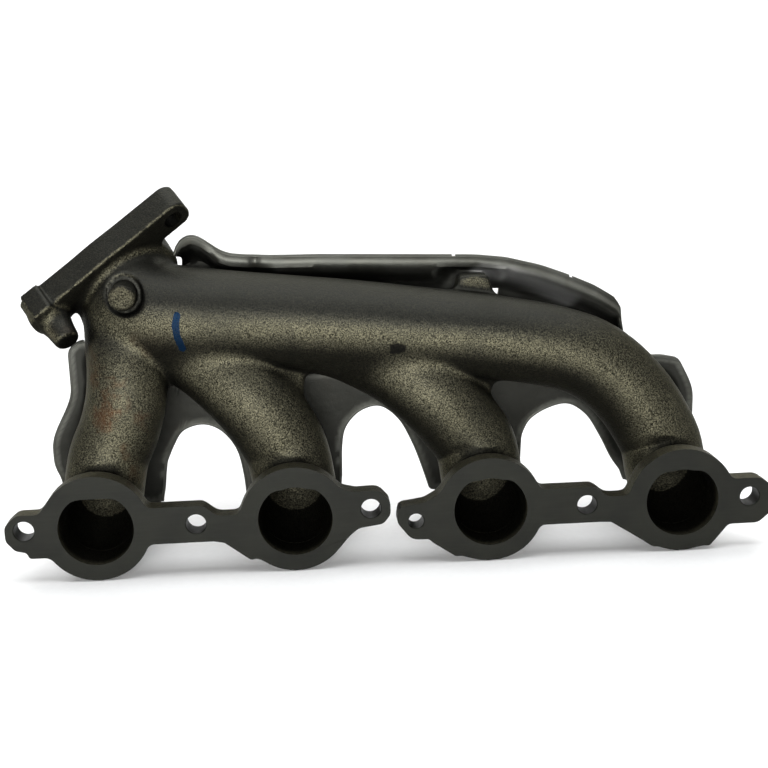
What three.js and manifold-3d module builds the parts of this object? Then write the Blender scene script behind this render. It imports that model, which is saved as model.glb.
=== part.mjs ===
// Cast-iron log-type exhaust manifold for four in-line ports, with a two-skin heat shield bolted to
// its back. Millimetres, +Z up. The origin lies on the machined head face (y = 0), midway between
// the two middle ports at the height of the port centres. +X runs along the head towards the closed
// end of the log, +Y points away from the head.
import * as THREE from 'three';
import { mergeVertices } from 'three/addons/utils/BufferGeometryUtils.js';
import Module from 'manifold-3d';

const wasm = await Module();
wasm.setup();

// ---- driving dimensions ------------------------------------------------------------------------

const PORT_PITCH = 111.76;
const PORT_WIDTH = 42.2;
const PORT_HEIGHT = 39.2;
const PLATE_THICKNESS = 12;
const RING_RADIUS = 30.7; // flange ring around each port
const RING_Z = 1; // its centre sits a little above the port's
const WEB_TOP = 11.8;
const WEB_BOTTOM = -9.8;

const WALL = 4.6; // casting wall of runners and log
const TUBE_SIDES = 14;
const RUNNER_STEPS = 10;
const LOG_STEPS = 27;

// Flange bolt holes, left to right; the fourth is the small locating hole.
const BOLT_HOLES = [
  { x: -207.4, z: 1.6, diameter: 11.3 },
  { x: -111.76, z: 1, diameter: 11.3 },
  { x: -12.8, z: 5.1, diameter: 11.3 },
  { x: 12.8, z: -3.8, diameter: 8.8 },
  { x: 111.76, z: 1, diameter: 11.3 },
  { x: 207.4, z: 1.3, diameter: 11.3 },
];

// Each runner leaves its port square to the head, turns up and sweeps over into the log.
const RUNNERS = [
  {
    port: -1.5,
    radius: 23.2,
    upper: [[-164, 44, 30], [-157, 46, 46], [-152, 47, 64], [-151, 50, 80], [-154, 57, 98], [-157, 65, 110]],
  },
  {
    port: -0.5,
    radius: 24.6,
    upper: [[-59.5, 44, 28], [-67, 45, 44], [-79, 46.5, 61], [-98, 50, 80], [-124, 54, 97]],
  },
  {
    port: 0.5,
    radius: 24.4,
    upper: [[52.8, 44, 28], [42, 45, 44], [28, 46, 60], [8, 48, 77], [-20, 52, 92], [-42, 54, 100]],
  },
];

// The log is one pipe with the fourth runner: it climbs from port 4, runs along the head with a
// growing section and bends out into the outlet neck.
const LOG_PATH = [
  { at: [166.5, 44, 24], radius: 24.2 },
  { at: [160, 45, 37], radius: 24.2 },
  { at: [151, 45.5, 51], radius: 24.2 },
  { at: [137.5, 46, 66], radius: 24.2 },
  { at: [121.5, 46.5, 77.3], radius: 24.4 },
  { at: [100, 47, 85], radius: 24.4 },
  { at: [63, 48.5, 91.8], radius: 25 },
  { at: [22, 50.5, 96.6], radius: 26 },
  { at: [-22, 53, 101], radius: 27.4 },
  { at: [-66, 55.5, 104.8], radius: 28.2 },
  { at: [-104, 57.5, 107.6], radius: 29.8 },
];

const OUTLET = {
  centre: new THREE.Vector3(-156, 84, 136),
  normal: new THREE.Vector3(-0.53, 0.57, 0.63).normalize(),
  along: new THREE.Vector3(0.8, 0.09, 0.59), // the straight side of the flange, facing the head
  bore: 52.8,
  thickness: 13.5,
  boltSide: 90, // side of the bolt triangle
  holeDiameter: 11,
  lugRadius: 10.5,
};

// Shield fixings: bosses on the back of the casting, all with their axes along +Y.
const PAD_HALF = 10.5; // flat pad of the shield around each bolt
const FIXINGS = [
  { name: 'log_right', x: 55.3, z: 115, pad: 84.2, root: 56, depth: 14 },
  { name: 'log_left', x: -84, z: 115, pad: 98, root: 74, depth: 11 },
  { name: 'runner_1', x: -157, z: 48, pad: 83, root: 60, depth: 10 },
  { name: 'runner_4', x: 152, z: 48, pad: 83, root: 62, depth: 10 },
];
const BOSS_RADIUS = 9.5;
const EAR_HEIGHT = 12.5; // top of the squarish ear above its bolt
const EAR_BACK = 70;
const THREAD_HOLE = 8.8;
const BOLT_DIAMETER = 8;
const FIT_GAP = 0.3;
const ISOLATOR_THICKNESS = 3;
const SLEEVE_OUTSIDE = 11;
const SHIELD_HOLE = 12;
const WASHER_THICKNESS = 1.6;

// Shield layers, as distances from the inner face along its normal.
const LAYERS = [
  { name: 'heat_shield_inner_skin', from: 0, to: 0.8 },
  { name: 'heat_shield_insulation', from: 1.2, to: 2.4 },
  { name: 'heat_shield_outer_skin', from: 2.8, to: 3.6 },
];
const SHIELD_THICKNESS = LAYERS[2].to;
const RIM_Y = 70; // level of the turned-out lip
const LIP = 7;
const LEG_Y = 83; // back wall behind the runners
const NECK_CLEARANCE = 42; // radius of the cut-out around the outlet neck

// ---- materials ---------------------------------------------------------------------------------

const finish = (color, roughness, metalness) =>
  new THREE.MeshStandardMaterial({ color, roughness, metalness });
const CAST_IRON = finish(0x6f6d60, 0.62, 0.55);
const SHIELD_STEEL = finish(0x8d8d80, 0.42, 0.75);
const MAT_FIBRE = finish(0x9a9484, 0.95, 0);
const BOLT_STEEL = finish(0x5c5c58, 0.4, 0.9);
const WIRE_MESH = finish(0x77756c, 0.6, 0.7);

// ---- geometry helpers --------------------------------------------------------------------------

function toSolid(geometry) {
  const bare = geometry.clone();
  bare.deleteAttribute('normal');
  bare.deleteAttribute('uv');
  const merged = mergeVertices(bare, 1e-4);
  const triVerts = new Uint32Array(merged.index.array);
  const vertProperties = new Float32Array(merged.attributes.position.array);
  return new wasm.Manifold(new wasm.Mesh({ numProp: 3, vertProperties, triVerts }));
}

function toMesh(solid, name, material) {
  const { vertProperties, triVerts } = solid.getMesh();
  const geometry = new THREE.BufferGeometry();
  geometry.setAttribute('position', new THREE.BufferAttribute(vertProperties, 3));
  geometry.setIndex(new THREE.BufferAttribute(triVerts, 1));
  geometry.computeVertexNormals();
  const mesh = new THREE.Mesh(geometry, material);
  mesh.name = name;
  return mesh;
}

const unite = (solids) => solids.reduce((sum, solid) => sum.add(solid));

// A closed solid through a row of rings, each an array of the same number of points.
function ringLoft(rings) {
  const count = rings[0].length;
  const points = rings.flat();
  const index = [];
  for (let i = 0; i < rings.length - 1; i += 1) {
    for (let j = 0; j < count; j += 1) {
      const a = i * count + j;
      const b = i * count + ((j + 1) % count);
      index.push(a, b, b + count, a, b + count, a + count);
    }
  }
  for (const [ring, flip] of [[0, true], [rings.length - 1, false]]) {
    const centre = new THREE.Vector3();
    rings[ring].forEach((point) => centre.addScaledVector(point, 1 / count));
    const middle = points.push(centre) - 1;
    for (let j = 0; j < count; j += 1) {
      const a = ring * count + j;
      const b = ring * count + ((j + 1) % count);
      index.push(...(flip ? [middle, b, a] : [middle, a, b]));
    }
  }
  const geometry = new THREE.BufferGeometry().setFromPoints(points);
  geometry.setIndex(index);
  return geometry;
}

// A pipe along a curve. radiusAt(t) gives its radius, or a [half width, half height] pair.
function pipe(points, radiusAt, steps, sides = TUBE_SIDES) {
  const stops = points.map((point) => new THREE.Vector3(...point));
  const curve = new THREE.CatmullRomCurve3(stops, false, 'centripetal');
  const frames = curve.computeFrenetFrames(steps);
  const rings = [];
  for (let i = 0; i <= steps; i += 1) {
    const t = i / steps;
    const centre = curve.getPointAt(t);
    const size = radiusAt(t, centre);
    const [wide, high] = Array.isArray(size) ? size : [size, size];
    const ring = [];
    for (let j = 0; j < sides; j += 1) {
      const angle = ((j + 0.5) * 2 * Math.PI) / sides;
      ring.push(centre.clone()
        .addScaledVector(frames.normals[i], wide * Math.cos(angle))
        .addScaledVector(frames.binormals[i], high * Math.sin(angle)));
    }
    rings.push(ring);
  }
  return toSolid(ringLoft(rings));
}

// A cylinder along +Y.
function cylinderY(radius, fromY, toY, x = 0, z = 0, sides = 14, endRadius = radius) {
  const geometry = new THREE.CylinderGeometry(endRadius, radius, toY - fromY, sides);
  geometry.translate(x, (fromY + toY) / 2, z);
  return toSolid(geometry);
}

// A flat outline in x and z, extruded along +Y.
function plateY(shape, fromY, toY, curveSegments = 8) {
  const geometry = new THREE.ExtrudeGeometry(shape, {
    depth: toY - fromY, bevelEnabled: false, curveSegments,
  });
  geometry.rotateX(Math.PI / 2);
  geometry.translate(0, toY, 0);
  return toSolid(geometry);
}

// A polygon whose corners [x, z, radius] are rounded.
function roundedShape(corners) {
  const shape = new THREE.Shape();
  const at = (i) => new THREE.Vector2(...corners[(i + corners.length) % corners.length].slice(0, 2));
  corners.forEach(([x, z, radius = 0], i) => {
    const corner = new THREE.Vector2(x, z);
    const before = at(i - 1).sub(corner);
    const after = at(i + 1).sub(corner);
    const half = before.angleTo(after) / 2;
    const reach = Math.min(radius / Math.tan(half), before.length() / 2, after.length() / 2);
    const start = before.setLength(reach).add(corner);
    const end = after.setLength(reach).add(corner);
    if (i === 0) shape.moveTo(start.x, start.y);
    else shape.lineTo(start.x, start.y);
    if (reach > 0.01) shape.quadraticCurveTo(x, z, end.x, end.y);
  });
  shape.closePath();
  return shape;
}

const smooth = (t) => {
  const s = Math.min(Math.max(t, 0), 1);
  return s * s * (3 - 2 * s);
};

// Straight-line interpolation in a table of [x, value] rows.
function lookUp(table, x) {
  const last = table.length - 1;
  if (x <= table[0][0]) return table[0][1];
  if (x >= table[last][0]) return table[last][1];
  const i = table.findIndex(([edge]) => edge > x);
  const [x0, v0] = table[i - 1];
  const [x1, v1] = table[i];
  return v0 + ((v1 - v0) * (x - x0)) / (x1 - x0);
}

// ---- casting -----------------------------------------------------------------------------------

// Two ports share one plate. The web between them is scalloped beside the right port.
function headPlate(leftPort, lugs) {
  const rightPort = leftPort + PORT_PITCH;
  const web = roundedShape([
    [leftPort, WEB_TOP], [leftPort + 60, WEB_TOP, 6], [leftPort + 68, 5.4, 8], [leftPort + 80, 5.4, 6],
    [rightPort - 22, 26, 4], [rightPort, 26], [rightPort, RING_Z - RING_RADIUS],
    [rightPort - 10, RING_Z - RING_RADIUS, 6],
    [leftPort + 73.5, -15, 3], [leftPort + 69, WEB_BOTTOM, 3], [leftPort, WEB_BOTTOM],
  ]);
  const pieces = [plateY(web, 0, PLATE_THICKNESS)];
  for (const x of [leftPort, rightPort]) {
    pieces.push(cylinderY(RING_RADIUS, 0, PLATE_THICKNESS, x, RING_Z, 32));
  }
  for (const corners of lugs) pieces.push(plateY(roundedShape(corners), 0, PLATE_THICKNESS));
  return unite(pieces);
}

const LUGS_LEFT_PLATE = [
  [[-160, 24], [-192, 16, 8], [-199, 11, 6], [-211, 11, 7], [-217.9, 5, 6], [-217.9, -4, 5],
    [-208, -14.2, 7], [-190, -14.2, 8], [-160, -26]],
  [[-50, 26], [-31, 18, 10], [-21, 15.6, 6], [-8, 16, 8], [-1.7, 9, 6], [-1.7, 1, 5], [-6, -4.4, 6],
    [-20, -6.2, 8], [-32, -16, 8], [-50, -20]],
];
const LUGS_RIGHT_PLATE = [
  [[50, 26], [30, 14, 8], [18, 7.2, 8], [3, 5.2, 4], [1.7, -4, 6], [10, -14.8, 8], [20, -15, 6],
    [36, -26, 8], [54, -29.7]],
  [[160, 25], [188, 22, 8], [195, 12.6, 4], [213, 12.6, 6], [221, 7, 6], [221, -8, 6], [213, -15, 6],
    [196, -15, 5], [188, -22, 5], [160, -22]],
];

const boreRadius = (runner) => runner.radius - WALL;

function runnerPath(runner, start) {
  const x = runner.port * PORT_PITCH;
  return [[x, start, 0], [x, 8, 0], [x, 18, 0.6], [x, 34.5, 9], ...runner.upper];
}

// The passage starts at the port's own size and settles to the runner bore behind the flange.
function passageRadius(bore) {
  return (t, centre) => {
    const k = smooth(centre.y / 20);
    return [
      PORT_WIDTH / 2 + (bore - PORT_WIDTH / 2) * k,
      PORT_HEIGHT / 2 + (bore - PORT_HEIGHT / 2) * k,
    ];
  };
}

const logRunner = { port: 1.5, radius: LOG_PATH[0].radius, upper: LOG_PATH.map(({ at }) => at) };
const neckPoint = (distance) => OUTLET.centre.clone().addScaledVector(OUTLET.normal, -distance);
const neckPath = [neckPoint(36), neckPoint(20), neckPoint(0)].map((p) => p.toArray());

const LOG_RADII = [
  ...LOG_PATH.map(({ at, radius }) => [-at[0], radius]),
  [137, 31], [146, 30], [154, OUTLET.bore / 2 + WALL],
];
const logRadius = (centre) => lookUp(LOG_RADII, -centre.x);

function castingOutside() {
  const leftPlate = headPlate(-1.5 * PORT_PITCH, LUGS_LEFT_PLATE);
  const rightPlate = headPlate(0.5 * PORT_PITCH, LUGS_RIGHT_PLATE);
  const pieces = [leftPlate, rightPlate];
  for (const runner of RUNNERS) {
    pieces.push(pipe(runnerPath(runner, 3), () => runner.radius, RUNNER_STEPS));
  }
  const neckEnd = neckPoint(3).toArray();
  const logPoints = [...runnerPath(logRunner, 3), neckPath[0], neckPath[1], neckEnd];
  pieces.push(pipe(logPoints, (t, centre) => logRadius(centre), LOG_STEPS));
  pieces.push(outletPlate());
  for (const fixing of FIXINGS) pieces.push(boss(fixing));
  pieces.push(castPad());
  return unite(pieces);
}

const bossFace = (fixing) => fixing.pad - 2 * FIT_GAP - ISOLATOR_THICKNESS;

// The boss at the right of the log carries a squarish ear that shows over the log.
function boss({ name, x, z, root, pad }) {
  const face = bossFace({ pad });
  const round = cylinderY(BOSS_RADIUS + 2, root, face, x, z, 14, BOSS_RADIUS);
  if (name !== 'log_right') return round;
  const ear = roundedShape([
    [x - BOSS_RADIUS, z - 22], [x + BOSS_RADIUS, z - 22], [x + BOSS_RADIUS, z + EAR_HEIGHT, 6],
    [x - BOSS_RADIUS, z + EAR_HEIGHT, 6],
  ]);
  return round.add(plateY(ear, root, EAR_BACK, 4));
}

// Low round pad on the front of the collector.
function castPad() {
  return cylinderY(7.6, 27, 50, -147.5, 126.5, 16);
}

// Places a solid built around the local Z axis on the outlet, local Z along the outlet normal and
// local -Y towards the head.
function onOutlet(solid) {
  const tilt = OUTLET.along.dot(OUTLET.normal);
  const along = OUTLET.along.clone().addScaledVector(OUTLET.normal, -tilt).normalize();
  const across = OUTLET.normal.clone().cross(along);
  const place = new THREE.Matrix4().makeBasis(along, across, OUTLET.normal).setPosition(OUTLET.centre);
  return solid.transform(place.elements);
}

const outletBolts = () => {
  const { boltSide } = OUTLET;
  const apothem = boltSide / (2 * Math.sqrt(3));
  return [[-boltSide / 2, -apothem], [boltSide / 2, -apothem], [0, 2 * apothem]];
};

// Straight towards the head, waisted between each near lug and the far one.
function outletPlate() {
  const { thickness, lugRadius } = OUTLET;
  const [[, near], [reach], [, far]] = outletBolts();
  const rightHalf = [
    [reach + lugRadius, near - lugRadius, 8], [reach + lugRadius, near + lugRadius, 8],
    [37, near + lugRadius + 1, 6], [31, -2, 8], [30.5, 14, 10], [22, 27, 8], [11, 36, 6],
    [lugRadius, far + lugRadius, 9],
  ];
  const leftHalf = rightHalf.map(([x, y, radius]) => [-x, y, radius]).reverse();
  const shape = roundedShape([...rightHalf, ...leftHalf]);
  const geometry = new THREE.ExtrudeGeometry(shape, {
    depth: thickness, bevelEnabled: false, curveSegments: 6,
  });
  geometry.translate(0, 0, -thickness);
  const plate = toSolid(geometry);
  // The left near lug stands on a long boss that runs down into the neck.
  const [x, y] = outletBolts()[0];
  const lugBoss = new THREE.CylinderGeometry(9, 6.5, 24, 12);
  lugBoss.rotateX(Math.PI / 2);
  lugBoss.translate(x, y + 1, -thickness - 10);
  return onOutlet(plate.add(toSolid(lugBoss)));
}

function passages() {
  const cuts = RUNNERS.map((runner) =>
    pipe(runnerPath(runner, -3), passageRadius(boreRadius(runner)), RUNNER_STEPS));
  const logPoints = [...runnerPath(logRunner, -3), neckPath[0], neckPath[1], neckPath[2],
    neckPoint(-4).toArray()];
  const bore = (t, centre) => {
    const nearPort = passageRadius(boreRadius(logRunner))(t, centre);
    return centre.z < 30 ? nearPort : logRadius(centre) - WALL;
  };
  cuts.push(pipe(logPoints, bore, LOG_STEPS));
  return unite(cuts);
}

function casting() {
  const holes = BOLT_HOLES.map(({ x, z, diameter }) =>
    cylinderY(diameter / 2, -2, PLATE_THICKNESS + 12, x, z, 16));
  for (const fixing of FIXINGS) {
    const face = bossFace(fixing);
    holes.push(cylinderY(THREAD_HOLE / 2, face - fixing.depth, face + 2, fixing.x, fixing.z, 12));
  }
  for (const [x, y] of outletBolts()) {
    const drill = new THREE.CylinderGeometry(OUTLET.holeDiameter / 2, OUTLET.holeDiameter / 2, 80, 14);
    drill.rotateX(Math.PI / 2);
    drill.translate(x, y, -20);
    holes.push(onOutlet(toSolid(drill)));
  }
  return castingOutside().subtract(passages()).subtract(unite(holes));
}

// ---- heat shield -------------------------------------------------------------------------------

// Upper edge of the lip along the manifold: an ear beside the neck, a long gentle fall and a cut-out
// corner where the log dives to port 4.
const SHIELD_TOP = [
  [-187, 89], [-181, 94], [-174, 94], [-163, 88], [-140, 88], [-134, 95], [-124, 118], [-119, 147],
  [-112, 155.3], [-103, 152], [-94, 144.5], [-84, 141.4], [-62, 140.3], [-35, 140], [13, 138.2],
  [59, 136.5], [77, 134.5], [98, 129], [131, 115.5], [147, 107], [150, 97], [158, 79], [166, 72.5],
  [182, 72.5], [194, 70],
];
const SHIELD_BOTTOM = -13;
// Heights of the surface's rows below the lip, at the two ends and behind the log, and how far the
// rows have moved from one set to the other along the manifold.
const LOW_ROWS = [SHIELD_BOTTOM, 0, 12, 24, 37.5, 48, 58.5];
const HIGH_ROWS = [SHIELD_BOTTOM, 16, 37.5, 58.5, 82, 104.5, 125.5];
const ROW_LIFT = [
  [-146.5, 0], [-134, 0.28], [-127, 0.45], [-119, 0.63], [-112, 0.8], [-103, 1], [66, 1],
  [86, 0.9], [110, 0.7], [130, 0.4], [141.5, 0],
];

const SHIELD_STATIONS = [
  -187, -180, -173, -167.5, -146.5, -134, -127, -119, -112, -103, -94.5, -73.5, -48, -14, 20, 44.8,
  65.8, 86, 110, 130, 141.5, 149, 162.5, 172, 180, 187, 194,
];
const FIRST_STATION = SHIELD_STATIONS[0];
const LAST_STATION = SHIELD_STATIONS[SHIELD_STATIONS.length - 1];

// How far the two ends lean outwards towards the bottom.
const leftEdge = (z) => 4 * smooth((20 - z) / 14) - 14 * smooth((66 - z) / 38);
const rightEdge = (z) => -12 * smooth((z - 36) / 40);

function backWall(x, z) {
  const towardsOutlet = smooth((80 - x) / 180);
  const behindLog = 85 + 13 * towardsOutlet;
  return LEG_Y + (behindLog - LEG_Y) * smooth((z - 62) / 24);
}

// The inner face of the shield.
function shieldPoint(station, row) {
  const top = lookUp(SHIELD_TOP, station);
  const rim = top - LIP;
  let z = row === HIGH_ROWS.length ? rim : top;
  if (row < HIGH_ROWS.length) {
    z = LOW_ROWS[row] + (HIGH_ROWS[row] - LOW_ROWS[row]) * lookUp(ROW_LIFT, station);
  }
  const x = station
    + leftEdge(z) * smooth((FIRST_STATION + 22 - station) / 18)
    + rightEdge(z) * smooth((station - LAST_STATION + 30) / 26);
  const fromLeft = smooth((station - FIRST_STATION - LIP + 1) / 22);
  const fromRight = smooth((LAST_STATION - LIP + 1 - station) / 22);
  const fromTop = smooth((rim - z) / 15);
  let y = RIM_Y + (backWall(station, z) - RIM_Y) * fromLeft * fromRight * fromTop;
  for (const fixing of FIXINGS) {
    const away = Math.max(Math.abs(x - fixing.x), Math.abs(z - fixing.z)) - PAD_HALF;
    const hold = (1 - smooth((away - 1) / 9)) * smooth((rim - z) / 3);
    y += (fixing.pad - y) * hold;
  }
  return new THREE.Vector3(x, y, z);
}

function shieldSurface() {
  const rows = HIGH_ROWS.length + 2;
  const grid = SHIELD_STATIONS.map((station) =>
    Array.from({ length: rows }, (_, row) => shieldPoint(station, row)));
  const normals = grid.map((column, i) => column.map((point, j) => {
    const alongX = grid[Math.min(i + 1, grid.length - 1)][j].clone().sub(grid[Math.max(i - 1, 0)][j]);
    const alongZ = column[Math.min(j + 1, rows - 1)].clone().sub(column[Math.max(j - 1, 0)]);
    return alongZ.cross(alongX).normalize();
  }));
  return { grid, normals };
}

// One layer of the shield: the surface thickened between two distances along its normals.
function shieldLayer({ grid, normals }, from, to) {
  const columns = grid.length;
  const rows = grid[0].length;
  const points = [];
  for (const distance of [from, to]) {
    grid.forEach((column, i) => column.forEach((point, j) => {
      points.push(point.clone().addScaledVector(normals[i][j], distance));
    }));
  }
  const at = (i, j, side) => side * columns * rows + i * rows + j;
  const index = [];
  const quad = (a, b, c, d) => index.push(a, b, c, a, c, d);
  for (let i = 0; i < columns - 1; i += 1) {
    for (let j = 0; j < rows - 1; j += 1) {
      quad(at(i, j, 0), at(i + 1, j, 0), at(i + 1, j + 1, 0), at(i, j + 1, 0));
      quad(at(i, j, 1), at(i, j + 1, 1), at(i + 1, j + 1, 1), at(i + 1, j, 1));
    }
  }
  for (let i = 0; i < columns - 1; i += 1) {
    quad(at(i, 0, 0), at(i, 0, 1), at(i + 1, 0, 1), at(i + 1, 0, 0));
    quad(at(i, rows - 1, 0), at(i + 1, rows - 1, 0), at(i + 1, rows - 1, 1), at(i, rows - 1, 1));
  }
  for (let j = 0; j < rows - 1; j += 1) {
    quad(at(0, j, 0), at(0, j + 1, 0), at(0, j + 1, 1), at(0, j, 1));
    quad(at(columns - 1, j, 0), at(columns - 1, j, 1), at(columns - 1, j + 1, 1), at(columns - 1, j + 1, 0));
  }
  const geometry = new THREE.BufferGeometry().setFromPoints(points);
  geometry.setIndex(index);
  return toSolid(geometry);
}

// Openings through all layers: three arches between the runners, the bolt holes, a crescent relief
// below the ear's pad, and clearance around the neck.
const ARCHES = [
  [[-139, -10], [-137, 11], [-131, 24], [-125, 33], [-112, 37], [-101, 33], [-91, 20], [-87, 2], [-86, -10]],
  [[-27, -5], [-27, 14], [-24, 30], [-14, 41], [-1, 44], [11, 35], [20, 18], [26, 1], [30, -12]],
  [[87, -5], [87, 18], [93, 30], [106, 38], [119, 40], [131, 32], [141, 16], [148, 2], [155, -8]],
];

function archCut(outline) {
  const below = SHIELD_BOTTOM - 6;
  const shape = new THREE.Shape();
  shape.moveTo(outline[0][0], below);
  shape.lineTo(...outline[0]);
  shape.splineThru(outline.slice(1).map((point) => new THREE.Vector2(...point)));
  shape.lineTo(outline[outline.length - 1][0], below);
  shape.closePath();
  return plateY(shape, 50, 120, 2);
}

function crescentCut({ x, z }) {
  const shape = new THREE.Shape();
  shape.absarc(x, z, 19.5, -0.02, Math.PI + 0.02, true);
  shape.absarc(x, z, 13, Math.PI + 0.02, -0.02, false);
  shape.closePath();
  return plateY(shape, 60, 120, 6);
}

function shieldCuts() {
  const cuts = ARCHES.map(archCut);
  for (const { x, z } of FIXINGS) cuts.push(cylinderY(SHIELD_HOLE / 2, 60, 120, x, z, 12));
  cuts.push(crescentCut(FIXINGS[0]));
  const neckSleeve = new THREE.CylinderGeometry(NECK_CLEARANCE, NECK_CLEARANCE, 130, 28);
  neckSleeve.rotateX(Math.PI / 2);
  neckSleeve.translate(-5, 5, 10);
  cuts.push(onOutlet(toSolid(neckSleeve)));
  return unite(cuts);
}

// ---- shield fixings ----------------------------------------------------------------------------

function ringY(outside, inside, fromY, thickness, { x, z }, sides = 12) {
  return cylinderY(outside / 2, fromY, fromY + thickness, x, z, sides)
    .subtract(cylinderY(inside / 2, fromY - 1, fromY + thickness + 1, x, z, sides));
}

function fixingPieces(fixing) {
  const { name, x, z } = fixing;
  const face = bossFace(fixing);
  const washerAt = fixing.pad + SHIELD_THICKNESS + FIT_GAP;
  const headAt = washerAt + WASHER_THICKNESS + FIT_GAP;
  const isolator = ringY(18, SLEEVE_OUTSIDE + 0.8, face + FIT_GAP, ISOLATOR_THICKNESS, fixing);
  const sleeveLength = washerAt - face - 2 * FIT_GAP;
  const sleeve = ringY(SLEEVE_OUTSIDE, THREAD_HOLE, face + FIT_GAP, sleeveLength, fixing);
  const washer = ringY(20, THREAD_HOLE, washerAt, WASHER_THICKNESS, fixing);
  const shank = cylinderY(BOLT_DIAMETER / 2, face - fixing.depth + 1, headAt + 1, x, z, 12);
  const flange = cylinderY(8.5, headAt, headAt + 1.6, x, z, 12);
  const hex = cylinderY(7.5, headAt + 1, headAt + 7, x, z, 6);
  return [
    toMesh(isolator, `shield_isolator_${name}`, WIRE_MESH),
    toMesh(sleeve, `shield_sleeve_${name}`, BOLT_STEEL),
    toMesh(washer, `shield_washer_${name}`, BOLT_STEEL),
    toMesh(unite([shank, flange, hex]), `shield_bolt_${name}`, BOLT_STEEL),
  ];
}

// ---- assembly ----------------------------------------------------------------------------------

const manifold = new THREE.Group();
manifold.add(toMesh(casting(), 'manifold_casting', CAST_IRON));

const surface = shieldSurface();
const openings = shieldCuts();
for (const { name, from, to } of LAYERS) {
  const material = name === 'heat_shield_insulation' ? MAT_FIBRE : SHIELD_STEEL;
  manifold.add(toMesh(shieldLayer(surface, from, to).subtract(openings), name, material));
}
for (const fixing of FIXINGS) manifold.add(...fixingPieces(fixing));

export default manifold;
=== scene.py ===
"""Cast-iron log exhaust manifold with a bolted sandwich heat shield.

Every shape is made here in millimetres, in the part's frame, and stored in metres. The casting is a
signed distance field (tubes, plates and bosses run together with fillets) turned into a mesh, then
machined with booleans. The shield is a formed sheet of three layers with a hem round its edge."""

import math

import bmesh
import bpy
import numpy as np
from mathutils import Matrix, Vector


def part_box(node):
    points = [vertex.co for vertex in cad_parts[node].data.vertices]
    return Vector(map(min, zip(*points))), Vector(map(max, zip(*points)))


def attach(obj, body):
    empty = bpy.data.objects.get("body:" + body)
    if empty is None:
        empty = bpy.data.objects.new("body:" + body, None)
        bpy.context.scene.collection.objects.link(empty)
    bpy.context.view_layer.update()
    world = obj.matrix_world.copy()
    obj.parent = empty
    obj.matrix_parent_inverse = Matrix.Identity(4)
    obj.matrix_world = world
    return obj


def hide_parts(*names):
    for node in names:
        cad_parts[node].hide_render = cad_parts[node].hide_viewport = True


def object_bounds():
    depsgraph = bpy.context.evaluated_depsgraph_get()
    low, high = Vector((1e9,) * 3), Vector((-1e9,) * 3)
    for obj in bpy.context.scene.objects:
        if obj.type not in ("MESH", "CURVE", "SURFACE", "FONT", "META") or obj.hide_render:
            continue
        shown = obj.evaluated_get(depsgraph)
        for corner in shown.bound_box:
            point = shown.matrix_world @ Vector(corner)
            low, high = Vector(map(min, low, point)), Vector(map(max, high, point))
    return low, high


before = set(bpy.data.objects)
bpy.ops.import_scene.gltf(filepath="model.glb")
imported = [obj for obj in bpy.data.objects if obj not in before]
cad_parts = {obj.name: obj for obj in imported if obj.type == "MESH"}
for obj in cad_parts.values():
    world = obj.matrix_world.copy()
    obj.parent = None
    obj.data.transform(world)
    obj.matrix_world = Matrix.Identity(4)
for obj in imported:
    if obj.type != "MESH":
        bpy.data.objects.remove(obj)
cad_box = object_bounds()

MM = 0.001
VOXEL = 1.2

PORT_PITCH = 111.76
PORTS = [(i - 1.5) * PORT_PITCH for i in range(4)]
PORT_WIDTH, PORT_FLAT = 42.2, 18.0
PLATE = 12.0
RING_RADIUS, RING_Z = 30.7, 1.0
WALL = 4.6
BOLT_HOLES = [(-207.4, 1.6, 11.3), (-111.76, 1, 11.3), (-12.8, 5.1, 11.3), (12.8, -3.8, 8.8),
              (111.76, 1, 11.3), (207.4, 1.3, 11.3)]

# Control points (x, y, z, outside radius) behind each port's straight start.
RUNNER_UPPER = [
    [(-164, 44, 30, 23.2), (-157, 46, 46, 23.2), (-152, 47, 64, 23.2), (-151, 51.5, 80, 23),
     (-153, 59, 95, 22), (-155, 66, 108, 21)],
    [(-59.5, 44, 28, 24.6), (-67, 45, 44, 24.6), (-79, 46.5, 61, 24.6), (-98, 54, 78, 23.5),
     (-122, 62, 93, 21.5)],
    [(52.8, 44, 28, 24.4), (42, 45, 44, 24.4), (28, 46, 60, 24.4), (8, 52.5, 75, 23.4),
     (-18, 59.5, 87, 22), (-42, 63, 95, 21)],
    [(166.5, 44, 24, 24.2), (160, 45, 37, 24.2), (151, 45.5, 51, 24.2), (137.5, 46, 66, 24.2),
     (121.5, 46.5, 77.3, 24.4), (100, 47, 85, 24.4), (63, 48.5, 91.8, 25), (22, 50.5, 96.6, 26),
     (-22, 53, 101, 27.4), (-66, 55.5, 104.8, 28.2), (-104, 57.5, 107.6, 29.8)],
]

OUTLET = np.array([-156.0, 84.0, 136.0])
NORMAL = np.array([-0.53, 0.57, 0.63])
NORMAL /= np.linalg.norm(NORMAL)
ALONG = np.array([0.8, 0.09, 0.59])
ALONG -= NORMAL * (ALONG @ NORMAL)
ALONG /= np.linalg.norm(ALONG)
ACROSS = np.cross(NORMAL, ALONG)
OUTLET_BORE = 52.8
OUTLET_PLATE = 15.5
OUTLET_BOLTS = [(-45, -26), (45, -26), (0, 52)]
OUTLET_DRILLS = (24, 48, 48)
OUTLET_HOLE = 5.5
LUG = 10.5

# x, z, y of the shield's pad, y of the boss's root, and depth of its thread.
FIXINGS = {"log_right": (55.3, 115, 84.2, 56, 14), "log_left": (-84, 115, 98, 74, 11),
           "runner_1": (-157, 48, 83, 60, 10), "runner_4": (152, 48, 83, 62, 10)}
BOSS = 9.5
STACK = 3.6


def boss_face(pad):
    return pad - STACK


# ---- signed distance field -----------------------------------------------------------------------

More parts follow.
